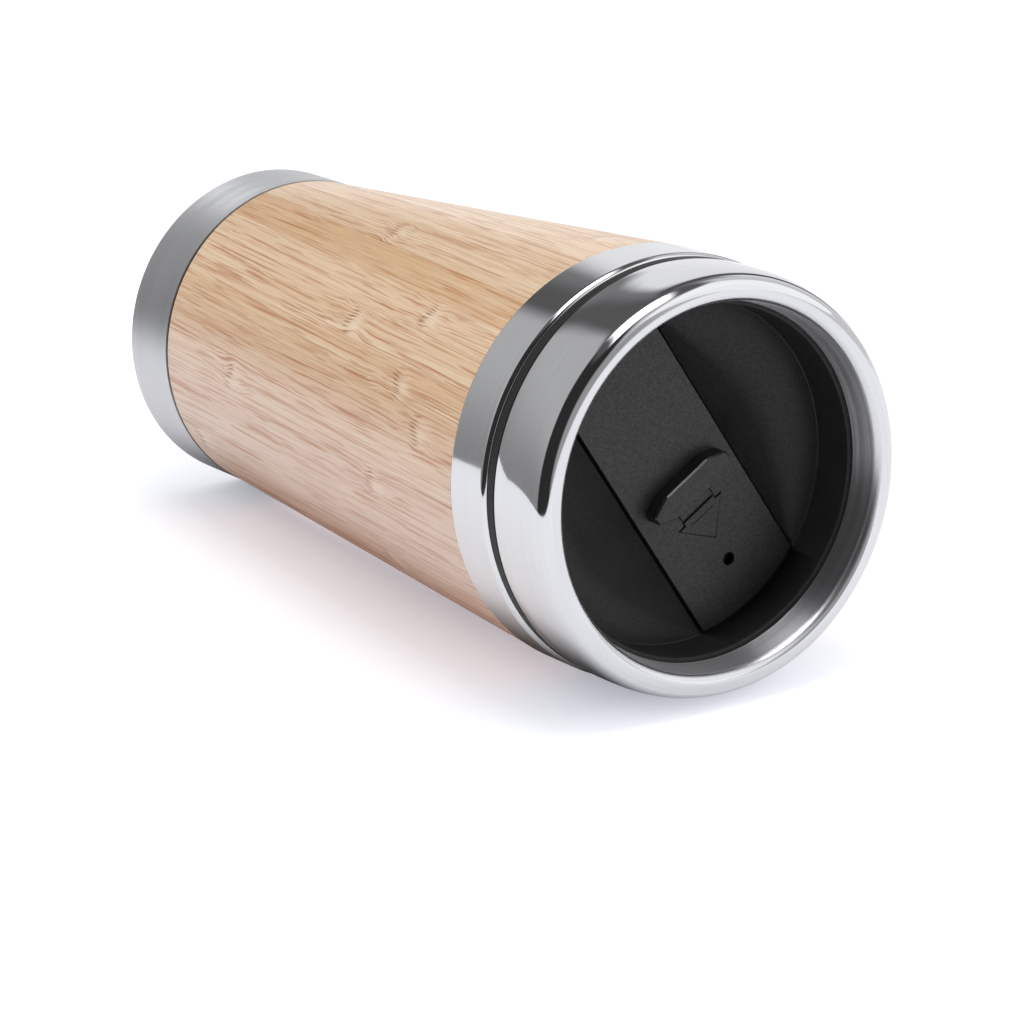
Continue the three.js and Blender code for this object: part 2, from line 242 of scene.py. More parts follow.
def makeRoom(values):
    room = bpy.data.worlds.new("studioRoom")
    bpy.context.scene.world = room
    room.use_nodes = True
    tree = room.node_tree
    tree.nodes.clear()
    way = tree.nodes.new("ShaderNodeTexCoord").outputs["Generated"]

    def facing(axis):
        node = addNode(tree, "ShaderNodeVectorMath", {0: way, 1: axis}, operation="DOT_PRODUCT")
        return node.outputs["Value"]

    def edge(direction, name, *levels):
        return spread(tree, direction, *values[name], *levels)

    def within(first, *others):
        # Where all these edges are passed
        for other in others:
            first = calc(tree, "MULTIPLY", first, other)
        return first

    aside, rise, ahead = facing(stageLeft), facing(stageUp), facing(stageAlong)
    # Behind the base: a light wall on the right, a dark gap and a grey wall on the left
    darkest = 2 * values["darkGap"]
    leaning = calc(tree, "ADD", aside, edge(rise, "lightLean"))
    rightWall = edge(leaning, "lightEdge", values["lightSide"], darkest)
    rightWall = mixValue(tree, edge(rise, "lightTop"), rightWall, darkest)
    rightWall = calc(tree, "SUBTRACT", rightWall, edge(aside, "gapEdge", 0.0, values["darkGap"]))
    shifted = calc(tree, "ADD", aside, values["greyShift"])
    leaning = calc(tree, "MULTIPLY_ADD", rise, values["greyLean"], shifted)
    leftWall = edge(leaning, "greyEdge", 0.0, values["greySide"] - values["darkGap"])
    leftWall = calc(tree, "MULTIPLY", leftWall, edge(rise, "greyRise"))
    rear = calc(tree, "ADD", rightWall, leftWall)
    # Nearer: a light side on the right and a black one on the left, then what is straight ahead
    near = edge(aside, "nearEdge", values["nearRight"], values["nearLeft"])
    near = mixValue(tree, edge(ahead, "straightEdge"), near, values["straightAhead"])
    walls = mixValue(tree, edge(ahead, "nearStart"), rear, near)
    corner = within(edge(ahead, "cornerStart"), edge(ahead, "cornerEnd"), edge(aside, "cornerAside"))
    walls = mixValue(tree, corner, walls, values["darkCorner"])
    # Above: a dark ceiling with the softbox in it
    walls = mixValue(tree, edge(rise, "ceilingEdge"), walls, values["ceiling"])
    panel = within(edge(ahead, "boxStart"), edge(ahead, "boxEnd"), edge(rise, "boxLow"))
    panel = within(panel, edge(aside, "boxRight"), edge(aside, "boxLeft"))
    walls = mixValue(tree, panel, walls, values["softbox"])
    # The eye and clear materials see plain white
    path = tree.nodes.new("ShaderNodeLightPath")
    strength = mixValue(tree, path.outputs["Is Glossy Ray"], values["fill"], walls)
    white = calc(tree, "MAXIMUM", path.outputs["Is Camera Ray"], path.outputs["Is Transmission Ray"])
    strength = mixValue(tree, white, strength, 1.0)
    inputs = {"Color": values["tint"], "Strength": strength}
    light = addNode(tree, "ShaderNodeBackground", inputs).outputs[0]
    addNode(tree, "ShaderNodeOutputWorld", {"Surface": light})


lampSet = [
    # name, along, left, up (m from the middle of the tumbler), width, height, watts
    ("overheadSoftbox", 0.09, 0.05, 1.05, 0.50, 0.56, 2.6),
    ("frontSoftbox", 0.75, -0.75, 0.60, 1.1, 1.1, 1.8),
]


def makeLamps(rows):
    middle = (cadLow + cadHigh) / 2
    for name, along, left, up, width, height, watts in rows:
        away = stageAlong * along + stageLeft * left + stageUp * up
        bpy.ops.object.light_add(type="AREA")
        lamp = bpy.context.object
        lamp.name = name
        lamp.data.shape = "RECTANGLE"
        lamp.data.size = width
        lamp.data.size_y = height
        lamp.data.energy = watts
        turn = away.to_track_quat("Z", "Y").to_matrix().to_4x4()
        lamp.matrix_world = Matrix.Translation(middle + away) @ turn
        lamp.visible_camera = False


makeTable(tableSet)
makeRoom(roomSet)
makeLamps(lampSet)
print("stage set")


# Steel finishes. Lines and stains are counted per m, round the axis and along it, and a row of four is
# where a pattern starts and ends and what it gives there
steelSet = {
    "satinSteel": {
        "lines": (30.0, 9000.0), "dark": (0.60, 0.605, 0.62, 1), "light": (0.70, 0.705, 0.72, 1),
        "rough": (0.25, 0.75, 0.36, 0.43), "brushed": 0.86, "relief": (0.00001, 0.35),
        "stains": (25.0, 700.0), "stainNoise": (2.0, 0.5), "stainRough": (0.3, 0.7, 0.0, 0.05),
    },
    "polishedSteel": {
        "lines": (30.0, 5000.0), "dark": (0.665, 0.67, 0.685, 1), "light": (0.715, 0.72, 0.735, 1),
        "rough": (0.3, 0.8, 0.045, 0.085), "relief": (0.000004, 0.25),
        "stains": (55.0, 55.0), "stainNoise": (3.0, 0.55), "stainRough": (0.4, 0.75, 0.0, 0.05),
    },
    "turnedSteel": {
        "lines": (12.0, 4200.0), "dark": (0.64, 0.645, 0.66, 1), "light": (0.80, 0.805, 0.82, 1),
        "rough": (0.25, 0.75, 0.29, 0.40), "brushed": 0.88, "relief": (0.00002, 0.4),
    },
    # the rolled edge of the mouth, dulled by handling
    "edgeSteel": {
        "lines": (30.0, 3000.0), "dark": (0.63, 0.635, 0.65, 1), "light": (0.71, 0.715, 0.73, 1),
        "rough": (0.3, 0.7, 0.26, 0.32),
    },
    "linerSteel": {
        "lines": (12.0, 1500.0), "dark": (0.64, 0.645, 0.66, 1), "light": (0.80, 0.805, 0.82, 1),
        "rough": (0.25, 0.75, 0.35, 0.46), "brushed": 0.88, "relief": (0.00002, 0.4),
    },
}


def makeSteel(name, values):
    finish, tree, shader, place = newFinish(name, Metallic=1.0)
    # Lines left by the lathe: fine along the axis, long round it
    lines = noiseOf(tree, stretched(tree, place, *values["lines"]), 1.0, 3.0, 0.65)
    tone = mixColour(tree, spread(tree, lines, 0.3, 0.7), values["dark"], values["light"])
    tree.links.new(tone, shader.inputs["Base Color"])
    rough = spread(tree, lines, *values["rough"])
    if "stains" in values:
        stains = noiseOf(tree, stretched(tree, place, *values["stains"]), 1.0, *values["stainNoise"])
        rough = calc(tree, "ADD", rough, spread(tree, stains, *values["stainRough"]))
    tree.links.new(rough, shader.inputs["Roughness"])
    if "brushed" in values:
        shader.inputs["Anisotropic"].default_value = values["brushed"]
        shader.inputs["Anisotropic Rotation"].default_value = 0.25
        tangent = addNode(tree, "ShaderNodeTangent", direction_type="RADIAL", axis="Z").outputs[0]
        tree.links.new(tangent, shader.inputs["Tangent"])
    if "relief" in values:
        addBump(tree, shader, lines, *values["relief"])
    return finish


# Black plastics, with grain, clouds and dust
plasticSet = {
    "trayPlastic": {
        "dark": (0.0150, 0.0150, 0.0158, 1), "light": (0.0185, 0.0185, 0.0194, 1),
        "rough": 0.46, "gloss": 0.26,
    },
    "sliderPlastic": {
        "dark": (0.0095, 0.0095, 0.010, 1), "light": (0.0135, 0.0135, 0.0142, 1),
        "rough": 0.42, "gloss": 0.5,
    },
    "wornPlastic": {
        "dark": (0.010, 0.010, 0.0105, 1), "light": (0.014, 0.014, 0.0147, 1),
        "rough": 0.16, "gloss": 0.9,
    },
    # painted shade: the inside of the vent hole, darker and duller than the slider's own plastic
    "ventShadePlastic": {
        "dark": (0.001, 0.001, 0.001, 1), "light": (0.002, 0.002, 0.002, 1),
        "rough": 0.7, "gloss": 0.06,
    },
}
dustColour = (0.09, 0.09, 0.095, 1)


def makePlastic(name, values):
    finish, tree, shader, place = newFinish(name)
    rough, gloss = values["rough"], values["gloss"]
    grain = noiseOf(tree, place, 2300.0, 2.0, 0.6)
    cloud = noiseOf(tree, place, 60.0, 4.0, 0.6)
    dust = noiseOf(tree, place, 900.0, 1.0, 0.5)
    tone = mixColour(tree, spread(tree, cloud, 0.3, 0.7), values["dark"], values["light"])
    tone = mixColour(tree, spread(tree, dust, 0.78, 0.84, 0.0, 0.25), tone, dustColour)
    tree.links.new(tone, shader.inputs["Base Color"])
    clouded = spread(tree, cloud, 0.25, 0.75, rough - 0.04, rough + 0.05)
    grained = spread(tree, grain, 0.3, 0.7, 0.0, 0.04)
    tree.links.new(calc(tree, "ADD", clouded, grained), shader.inputs["Roughness"])
    shine = spread(tree, grain, 0.3, 0.7, 0.75 * gloss, 1.25 * gloss)
    tree.links.new(shine, shader.inputs["Specular IOR Level"])
    addBump(tree, shader, grain, 0.00003, 0.35)
    return finish


# Rubber of the seals, with a pale bloom
rubberSet = {"dark": (0.012, 0.012, 0.013, 1), "light": (0.03, 0.03, 0.032, 1)}


def makeRubber(values):
    finish, tree, shader, place = newFinish("sealRubber")
    bloom = noiseOf(tree, place, 140.0, 4.0, 0.6)
    tone = mixColour(tree, spread(tree, bloom, 0.3, 0.75), values["dark"], values["light"])
    tree.links.new(tone, shader.inputs["Base Color"])
    tree.links.new(spread(tree, bloom, 0.2, 0.8, 0.5, 0.68), shader.inputs["Roughness"])
    addBump(tree, shader, noiseOf(tree, place, 1800.0, 2.0), 0.00004, 0.3)
    return finish


# Bamboo veneer, wrapped round the cone: strips run straight in the flat sheet, so on the sleeve they fan
bambooSet = {
    "facing": 85.0,      # degrees round the axis where the strips run along the axis
    "lowRadius": 33.1,
    "lowHeight": 16.1,
    "taper": 0.06357,
    "strip": 7.0,        # width of a strip, mm
    "firstEdge": -51.8,  # one edge between strips, mm across the flat sheet
    "pale": (0.81, 0.61, 0.415, 1),
    "warm": (0.70, 0.455, 0.25, 1),
    # painted sheen: a pale pinkish tint on the side towards the table, a painted reflection of the white
    # table
    "tableSheen": (0.70, 0.525, 0.45, 1),
    "russet": (0.84, 0.47, 0.34, 1),
    "light": (0.93, 0.80, 0.63, 1),
    "fibre": (0.46, 0.17, 0.05, 1),
    "knuckle": (0.30, 0.12, 0.045, 1),
    "seam": (0.22, 0.12, 0.06, 1),
    # mm across the sheet where the painted sheen and the russet tint start and end, and how much of each
    # there is
    "tableSheenAcross": (-38.0, -10.0, 0.0, 0.75),
    "russetAcross": (2.0, 12.0, 0.0, 0.55),
    "tintsEnd": (38.0, 72.0, 1.0, 0.0),
    # the fine grain's darker and lighter fibres, the veins, threads and eyes
    "fibreShare": (0.51, 0.70, 0.0, 0.28),
    "lightShare": (0.46, 0.28, 0.0, 0.50),
    "veinShare": 0.8,
    "threadShare": 0.6,
    "eyeShare": 0.36,
    "eyeRise": 2.6,      # mm from the growth ring up to its eye
    # mm from an edge where its line starts and ends, and how much of it there is
    "glueLine": (0.05, 0.22, 0.28, 0.0),
    "seamLine": (0.10, 0.30, 0.8, 0.0),
    # strip number from the first edge: height of its growth ring, tone from 0, warm, to 1, pale
    "strips": {
        -5: (126, 0.75), -4: (30, 0.8), -3: (200, 0.6), -2: (75, 0.7), -1: (190, 0.0),
        0: (112, 0.62), 1: (87, 0.72), 2: (112.5, 0.46), 3: (123, 0.18), 4: (45, 0.66),
        5: (105, 0.6), 6: (190, 0.5), 7: (22, 0.65), 8: (98, 0.45), 9: (180, 0.6),
    },
    "ringRange": 230.0,          # mm, for the rings of the other strips
    "toneRange": (0.15, 0.85),
}


def makeBamboo(values):
    coat = {"Coat_Weight": 0.4, "Coat_Roughness": 0.28}
    finish, tree, shader, place = newFinish("bambooVeneer", IOR=1.5, **coat)

    def times(a, b):
        return calc(tree, "MULTIPLY", a, b)

    def plus(a, b):
        return calc(tree, "ADD", a, b)

    def minus(a, b):
        return calc(tree, "SUBTRACT", a, b)

    def bell(value, sharpness):
        return calc(tree, "POWER", math.e, times(times(value, value), -sharpness))

    def paint(wood, share, name):
        return mixColour(tree, share, wood, values[name])

    # Place on the flat sheet, in mm across the strips and along the axis
    slope = math.sin(math.atan(values["taper"]))
    turn = (0, 0, -math.radians(values["facing"]))
    inputs = {"Vector": place, "Rotation": turn, "Scale": (1 / mm,) * 3}
    turned = addNode(tree, "ShaderNodeMapping", inputs).outputs[0]
    axes = addNode(tree, "ShaderNodeSeparateXYZ", {0: turned}).outputs
    along = axes[2]
    angle = times(calc(tree, "ARCTAN2", axes[1], axes[0]), slope)
    groundRadius = values["lowRadius"] - values["taper"] * values["lowHeight"]
    radius = calc(tree, "MULTIPLY_ADD", along, values["taper"], groundRadius)
    reach = calc(tree, "DIVIDE", radius, slope)
    across = times(reach, calc(tree, "SINE", angle))
    strips = calc(tree, "DIVIDE", minus(across, values["firstEdge"]), values["strip"])
    number = calc(tree, "FLOOR", strips)
    fromMiddle = minus(minus(strips, number), 0.5)
    chance = addNode(tree, "ShaderNodeTexWhiteNoise", {"W": number}, noise_dimensions="1D")
    dice = addNode(tree, "ShaderNodeSeparateColor", {0: chance.outputs["Color"]}).outputs
    # Growth ring and tone of each strip, by chance where the list has none
    ramp = tree.nodes.new("ShaderNodeValToRGB")
    ramp.color_ramp.interpolation = "CONSTANT"
    first, count = min(values["strips"]), len(values["strips"])
    rampHeight = 256.0
    while len(ramp.color_ramp.elements) < count:
        ramp.color_ramp.elements.new(0.5)
    for step, key in enumerate(sorted(values["strips"])):
        height, tone = values["strips"][key]
        ramp.color_ramp.elements[step].position = step / count
        ramp.color_ramp.elements[step].color = (height / rampHeight, tone, 0, 1)
    share = calc(tree, "DIVIDE", plus(number, 0.5 - first), count)
    tree.links.new(share, ramp.inputs[0])
    chosen = addNode(tree, "ShaderNodeSeparateColor", {0: ramp.outputs[0]}).outputs
    known = times(calc(tree, "GREATER_THAN", share, 0.0), calc(tree, "LESS_THAN", share, 1.0))
    anyHeight = times(dice[0], values["ringRange"])
    ringHeight = mixValue(tree, known, anyHeight, times(chosen[0], rampHeight))
    anyTone = spread(tree, dice[1], 0.0, 1.0, *values["toneRange"])
    tone = mixValue(tree, known, anyTone, chosen[1])
    above = minus(along, ringHeight)
    near = bell(above, 0.014)
    # Each strip takes its grain from another place in the noise
    shift = times(number, 37.7)

    def grain(position, finer, longer, detail=2.0, roughness=0.55):
        inputs = {0: times(position, finer), 1: times(along, longer), 2: shift}
        where = addNode(tree, "ShaderNodeCombineXYZ", inputs).outputs[0]
        return noiseOf(tree, where, 1.0, detail, roughness)

    # Fibres swing aside near a growth ring and wander a little elsewhere
    wander = times(minus(grain(across, 0.05, 0.01), 0.5), 1.2)
    swing = times(times(minus(grain(across, 0.2, 0.06), 0.5), near), 4.5)
    moved = plus(plus(across, wander), swing)
    fine = grain(moved, 4.6, 0.02, 3.0, 0.6)
    broad = grain(moved, 0.45, 0.01)
    # Veins are thin long lines that come and go
    vein = bell(minus(grain(moved, 0.8, 0.006, 1.0), 0.5), 1000.0)
    thread = bell(minus(grain(plus(moved, 211.0), 1.6, 0.01, 1.0), 0.5), 260.0)
    veins = times(vein, spread(tree, grain(moved, 1.2, 0.045, 1.0), 0.47, 0.56))
    threads = times(thread, spread(tree, grain(plus(moved, 97.0), 1.6, 0.07, 1.0), 0.50, 0.60))
    dash = grain(moved, 3.2, 0.10, 1.0, 0.5)
    # Colour
    share = calc(tree, "ADD", tone, spread(tree, broad, 0.25, 0.75, -0.35, 0.35), clamp=True)
    wood = mixColour(tree, share, values["warm"], values["pale"])
    fading = spread(tree, across, *values["tintsEnd"])
    # Painted sheen on the side towards the table, then a russet tint
    wood = paint(wood, times(spread(tree, across, *values["tableSheenAcross"]), fading), "tableSheen")
    wood = paint(wood, times(spread(tree, across, *values["russetAcross"]), fading), "russet")
    wood = paint(wood, spread(tree, fine, *values["fibreShare"]), "fibre")
    wood = paint(wood, spread(tree, fine, *values["lightShare"]), "light")
    wood = paint(wood, times(veins, values["veinShare"]), "fibre")
    wood = paint(wood, times(threads, values["threadShare"]), "fibre")
    # Short dashes, more of them near a ring
    often = calc(tree, "MULTIPLY_ADD", bell(above, 0.006), 0.55, 0.10)
    wood = paint(wood, times(spread(tree, dash, 0.58, 0.63), often), "fibre")
    # The ring itself: a pale eye with a wavy row of dark ticks under it
    eye = times(bell(minus(above, values["eyeRise"]), 0.16), bell(fromMiddle, 8.0))
    wood = paint(wood, times(eye, values["eyeShare"]), "light")
    phase = calc(tree, "MULTIPLY_ADD", fromMiddle, 7.5, times(dice[2], 6.0))
    wave = times(calc(tree, "SINE", phase), 0.9)
    row = times(bell(minus(above, wave), 0.6), bell(fromMiddle, 4.5))
    ticks = times(row, spread(tree, calc(tree, "SINE", times(moved, 8.0)), 0.1, 0.6))
    wood = paint(wood, ticks, "knuckle")
    # Glue lines between strips, and the butt seam at the back of the wrap
    edge = times(minus(0.5, calc(tree, "ABSOLUTE", fromMiddle)), values["strip"])
    wood = paint(wood, spread(tree, edge, *values["glueLine"]), "fibre")
    backGap = times(minus(math.pi * slope, calc(tree, "ABSOLUTE", angle)), reach)
    wood = paint(wood, spread(tree, backGap, *values["seamLine"]), "seam")
    tree.links.new(wood, shader.inputs["Base Color"])
    tree.links.new(spread(tree, fine, 0.3, 0.7, 0.30, 0.40), shader.inputs["Roughness"])
    addBump(tree, shader, minus(fine, times(ticks, 0.8)), 0.00004, 0.3)
    return finish


finishes = {name: makeSteel(name, values) for name, values in steelSet.items()}
finishes.update({name: makePlastic(name, values) for name, values in plasticSet.items()})
finishes["sealRubber"] = makeRubber(rubberSet)
finishes["bambooVeneer"] = makeBamboo(bambooSet)
print("finishes made")


# Modelling helpers
def freshStart():
    bpy.ops.object.select_all(action="DESELECT")


def startEdit(piece):
    bpy.context.view_layer.objects.active = piece
    bpy.ops.object.mode_set(mode="EDIT")


def endEdit():
    bpy.ops.object.mode_set(mode="OBJECT")


def clearPick(piece):
    mesh = bmesh.from_edit_mesh(piece.data)
    for part in (*mesh.faces, *mesh.edges, *mesh.verts):
        part.select = False
    return mesh


def pickVerts(piece, test):
    mesh = clearPick(piece)
    for vert in mesh.verts:
        vert.select = test(vert.co / mm)
    mesh.select_flush(True)
    bmesh.update_edit_mesh(piece.data)


def pickEdges(piece, test):
    mesh = clearPick(piece)
    for edge in mesh.edges:
        if test(edge.verts[0].co / mm, edge.verts[1].co / mm):
            edge.select_set(True)
    bmesh.update_edit_mesh(piece.data)


def pickFaces(piece, test):
    mesh = clearPick(piece)
    for face in mesh.faces:
        if test(face.calc_center_median() / mm, face.normal):
            face.select_set(True)
    bmesh.update_edit_mesh(piece.data)


def roundEdges(piece, test, size, segments):
    # Bevels the edges that pass a test of their two ends
    startEdit(piece)
    pickEdges(piece, test)
    bpy.ops.mesh.bevel(offset=size * mm, segments=segments, affect="EDGES")
    endEdit()


def atHeight(height):
    return lambda a, b: abs(a.z - height) < same and abs(b.z - height) < same


def applyModifier(piece, kind, **settings):
    bpy.context.view_layer.objects.active = piece
    modifier = piece.modifiers.new(kind.lower(), kind)
    for key, value in settings.items():
        setattr(modifier, key, value)
    bpy.ops.object.modifier_apply(modifier=modifier.name)


def drawLine(name, corners, bevelSteps):
    # A wire of (radius, height, fillet) corners in the XZ plane, its fillets cut by vertex bevels
    freshStart()
    radius, height = corners[0][:2]
    bpy.ops.mesh.primitive_plane_add(size=mm, location=(radius * mm, 0, height * mm))
    piece = bpy.context.object
    piece.name = name
    bpy.ops.object.transform_apply(location=True, rotation=True, scale=True)
    startEdit(piece)
    bpy.ops.mesh.merge(type="CENTER")
    for start, end in zip(corners, corners[1:]):
        step = ((end[0] - start[0]) * mm, 0, (end[1] - start[1]) * mm)
        bpy.ops.mesh.extrude_vertices_move(TRANSFORM_OT_translate={"value": step})
    for before, corner, after in zip(corners, corners[1:], corners[2:]):
        if len(corner) > 2 and corner[2]:
            here = Vector((corner[0], 0, corner[1]))
            legs = [Vector((end[0], 0, end[1])) - here for end in (before, after)]
            half = legs[0].angle(legs[1]) / 2
            longest = 0.49 * min(leg.length for leg in legs)  # so that two fillets fit on one leg
            reach = min(corner[2] / math.tan(half), longest)
            pickVerts(piece, lambda place: (place - here).length < same)
            sizes = {"offset": reach * mm, "offset_type": "OFFSET", "segments": bevelSteps}
            bpy.ops.mesh.bevel(affect="VERTICES", **sizes)
    bpy.ops.mesh.select_all(action="SELECT")
    return piece


def turnPiece(name, corners, steps, wall=0.0, bevelSteps=6):
    piece = drawLine(name, corners, bevelSteps)
    bpy.ops.mesh.spin(steps=steps, angle=2 * math.pi, center=(0, 0, 0), axis=(0, 0, 1))
    bpy.ops.mesh.select_all(action="SELECT")
    bpy.ops.mesh.remove_doubles(threshold=0.002 * mm)
    bpy.ops.mesh.normals_make_consistent(inside=False)
    mesh = bmesh.from_edit_mesh(piece.data)
    widest = max(mesh.faces, key=lambda face: face.calc_center_median().xy.length)
    if widest.normal.xy.dot(widest.calc_center_median().xy) < 0:
        bpy.ops.mesh.flip_normals()
    endEdit()
    if wall:
        applyModifier(piece, "SOLIDIFY", thickness=wall * mm, offset=-1, use_even_offset=True)
    smooth(piece)
    return piece


def smooth(piece, sharp=32.0):
    freshStart()
    piece.select_set(True)
    bpy.context.view_layer.objects.active = piece
    bpy.ops.object.shade_smooth_by_angle(angle=math.radians(sharp))
    applyModifier(piece, "WEIGHTED_NORMAL", keep_sharp=True, weight=50)


def boxPiece(name, low, high):
    freshStart()
    low, high = Vector(low), Vector(high)
    bpy.ops.mesh.primitive_cube_add(size=mm, location=(low + high) / 2 * mm, scale=high - low)
    piece = bpy.context.object
    piece.name = name
    bpy.ops.object.transform_apply(location=True, rotation=True, scale=True)
    return piece


def discPiece(name, centre, radius, low, high, rounds, topRadius=None):
    freshStart()
    middle = Vector((centre[0], centre[1], (low + high) / 2)) * mm
    sizes = {"radius1": radius * mm, "radius2": (topRadius or radius) * mm, "depth": (high - low) * mm}
    bpy.ops.mesh.primitive_cone_add(vertices=rounds, location=middle, **sizes)
    piece = bpy.context.object
    piece.name = name
    bpy.ops.object.transform_apply(location=True, rotation=True, scale=True)
    return piece


def trim(piece, place, normal):
    # Cuts off what lies on the normal's side of a plane and closes the cut
    startEdit(piece)
    bpy.ops.mesh.select_all(action="SELECT")
    bpy.ops.mesh.bisect(plane_co=Vector(place) * mm, plane_no=normal, use_fill=True, clear_outer=True)
    bpy.ops.mesh.select_all(action="SELECT")
    bpy.ops.mesh.remove_doubles(threshold=0.001 * mm)
    bpy.ops.mesh.normals_make_consistent(inside=False)
    endEdit()


def trimSides(piece, left, right):
    # Keeps what lies between -right and left
    trim(piece, (0, left, 0), (0, 1, 0))
    trim(piece, (0, -right, 0), (0, -1, 0))


def carve(piece, tool, operation="DIFFERENCE"):
    applyModifier(piece, "BOOLEAN", object=tool, operation=operation, solver="EXACT")
    bpy.data.objects.remove(tool)


def crescentPiece(name, radius, width, length, low, high, rounds):
    # What is left of a disc when the same disc is cut away, moved by the width
    piece = discPiece(name, (0, 0), radius, low, high, rounds)
    carve(piece, discPiece(name + "Inside", (-width, 0), radius, low - past, high + past, rounds))
    trimSides(piece, length / 2, length / 2)
    return piece


def settle(piece, finish, body, node):
    piece.data.materials.clear()
    piece.data.materials.append(finishes[finish])
    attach(piece, body)
    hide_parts(node)


def dressFaces(piece, finish, test):
    # Gives the faces that pass a test of their middle and normal a finish of their own
    startEdit(piece)
    piece.data.materials.append(finishes[finish])
    pickFaces(piece, test)
    piece.active_material_index = len(piece.data.materials) - 1
    bpy.ops.object.material_slot_assign()
    endEdit()


# Steel base
baseSet = {"radius": 33.2, "height": 15.36, "corner": 0.9, "wall": 0.8, "steps": 192}


def makeBase(values):
    line = [(0, 0), (values["radius"], 0, values["corner"]), (values["radius"], values["height"])]
    piece = turnPiece("steelBase", line, values["steps"], values["wall"])
    settle(piece, "satinSteel", "cup", "base_cup")


makeBase(baseSet)
print("base made")


# Black ring between base and bamboo
ringSet = {"inside": 30.5, "outside": 32.9, "low": 15.4, "high": 15.9, "round": 0.12, "steps": 192}


def makeJointRing(values):
    inside, outside, low, high = (values[key] for key in ("inside", "outside", "low", "high"))
    fillet = values["round"]
    line = [(inside, low), (outside, low, fillet), (outside, high, fillet), (inside, high), (inside, low)]
    piece = turnPiece("jointRing", line, values["steps"], bevelSteps=3)
    settle(piece, "sealRubber", "cup", "base_joint_ring")


makeJointRing(ringSet)
print("joint ring made")


# Bamboo sleeve
sleeveSet = {
    "low": 15.94, "high": 138.3, "lowRadius": 33.1, "highRadius": 40.9, "wall": 2.6,
    "lowRound": 0.22, "highRound": 0.08, "steps": 192,
}


def makeSleeve(values):
    low, high = values["low"], values["high"]
    inLow, inHigh = values["lowRadius"] - values["wall"], values["highRadius"] - values["wall"]
    line = [
        (inLow, low),
        (values["lowRadius"], low, values["lowRound"]),
        (values["highRadius"], high, values["highRound"]),
        (inHigh, high),
        (inLow, low),
    ]
    piece = turnPiece("bambooSleeve", line, values["steps"], bevelSteps=4)
    settle(piece, "bambooVeneer", "cup", "bamboo_sleeve")


makeSleeve(sleeveSet)
print("sleeve made")


# Outer shell, which shows as the polished collar
shellSet = {
    "bottom": 1.1, "bottomRadius": 29.25, "corner": 4.0,
    "collarLow": 138.34, "wallRadius": 38.02, "collarRadius": 41.0, "heel": 0.3,
    "collarHigh": 149.7, "shoulder": 1.4, "hemRadius": 36.52, "hemTurn": 1.3, "hemEnd": 146.3,
    "wall": 0.7, "steps": 224,
}


def makeShell(values):
    low, high = values["collarLow"], values["collarHigh"]
    line = [
        (0, values["bottom"]),
        (values["bottomRadius"], values["bottom"], values["corner"]),
        (values["wallRadius"], low, values["heel"]),
        (values["collarRadius"], low, values["heel"]),
        (values["collarRadius"], high, values["shoulder"]),
        (values["hemRadius"], high, values["hemTurn"]),
        (values["hemRadius"], values["hemEnd"]),
    ]
    piece = turnPiece("polishedCollar", line, values["steps"], values["wall"], bevelSteps=8)
    settle(piece, "polishedSteel", "cup", "outer_shell")


makeShell(shellSet)
print("shell made")


# Inner cup
linerSet = {
    "bottom": 4.8, "bottomRadius": 26.58, "corner": 7.0, "flareLow": 133.3, "flareRadius": 34.75,
    "neckLow": 136.3, "neckRadius": 36.22, "flare": 3.0, "top": 148.4, "wall": 0.6, "steps": 192,
}


def makeLiner(values):
    line = [
        (0, values["bottom"]),
        (values["bottomRadius"], values["bottom"], values["corner"]),
        (values["flareRadius"], values["flareLow"], values["flare"]),
        (values["neckRadius"], values["neckLow"], values["flare"]),
        (values["neckRadius"], values["top"]),
    ]
    piece = turnPiece("innerCup", line, values["steps"], values["wall"], bevelSteps=8)
    settle(piece, "linerSteel", "cup", "inner_cup")


makeLiner(linerSet)
print("inner cup made")


# Lid insert: plug, black band and tray, with the slider's channel. Heights are from the lid's seat
insertSet = {
    "underside": -1.8, "undersideRound": 0.5,
    "plugInside": 32.62, "plugInsideRound": 0.4, "plugDepth": 11.0,
    "plugRadius": 35.02, "plugRound": 0.6, "plugTopRound": 0.2,
    "grooveLow": -6.0, "grooveHigh": -3.0, "grooveRadius": 33.62, "grooveRound": 0.15,
    "bandRadius": 40.5, "bandHigh": 2.25, "bandRound": 0.2,
    "footOutside": 34.8, "neckOutside": 34.9,
    "lipOutside": 36.4, "lipInside": 33.5, "lipLow": 9.75, "lipHigh": 11.15, "lipRound": 0.35,
    "floorRadius": 33.4, "floor": 1.9, "floorRound": 0.3, "steps": 192,
    "channelLow": -0.4, "channelLeft": 13.0, "channelRight": 12.5, "channelOver": 0.3,
    "slotRadius": 34.2, "slotHigh": 2.55, "slotInset": 0.1, "slotStart": -20.0,
    "travel": 5.2, "pocketLow": 0.45, "pocketHigh": 2.2, "pocketInset": 0.05, "pocketStart": -15.0,
    "sipReach": 31.6, "sipWidth": 3.7, "sipLength": 16.0,
    "ventReach": 28.0, "ventRadius": 1.25, "ventSteps": 48,
    "stemMiddle": -5.9, "stemRun": 8.8, "stemWidth": 6.6,
    "edge": 0.14, "edgeAside": 12.0, "edgeLength": 5.0, "toolSteps": 256,
}


